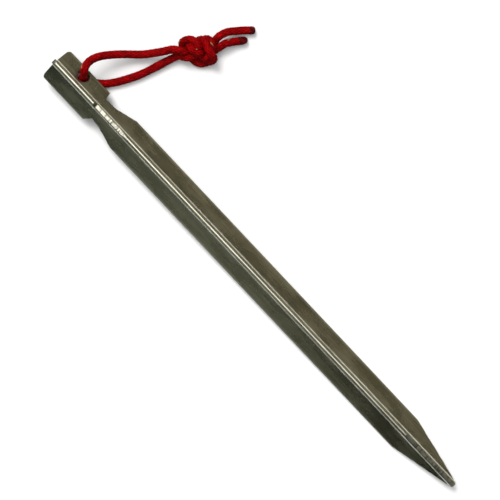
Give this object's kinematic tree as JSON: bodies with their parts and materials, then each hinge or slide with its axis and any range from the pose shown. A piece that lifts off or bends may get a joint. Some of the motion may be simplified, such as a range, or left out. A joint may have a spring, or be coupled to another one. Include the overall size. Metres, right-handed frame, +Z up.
{
  "type": "tent stake",
  "caption": "Y-section aluminium tent stake with hooked head, guy-line notches, tapered point and a knotted red pull cord through one fin.",
  "frame": {"origin": "under the middle of the stake's length, on the surface that it lies on", "axes": "+X along the stake from the head to the point, +Y towards the side that the pull cord leaves from, +Z up"},
  "size_m": [0.18, 0.0587, 0.0136],
  "materials": {
    "stake_metal": "satin grey extrusion with fine lengthwise lines, bright milled notches",
    "cord_braid": "tightly braided red cord with sparse light and dark tracer yarns",
    "melted_end": "melted and darkened cord fibre"
  },
  "bodies": {
    "stake": {"stake_body": "stake_metal"},
    "pull_loop": {"cord_upper_leg": "cord_braid", "cord_lower_leg": "cord_braid", "cord_knot": "cord_braid", "cord_long_tail": "cord_braid", "cord_short_tail": "cord_braid", "long_tail_seal": "melted_end", "short_tail_seal": "melted_end"}
  },
  "joints": [
    {"name": "loop_swing", "type": "hinge", "parent": "stake", "child": "pull_loop", "pos_m": [-0.08099, 0.00303, 0.00514], "axis": [0.0184, 0.5, 0.8658], "range_deg": [-10, 100]}
  ]
}
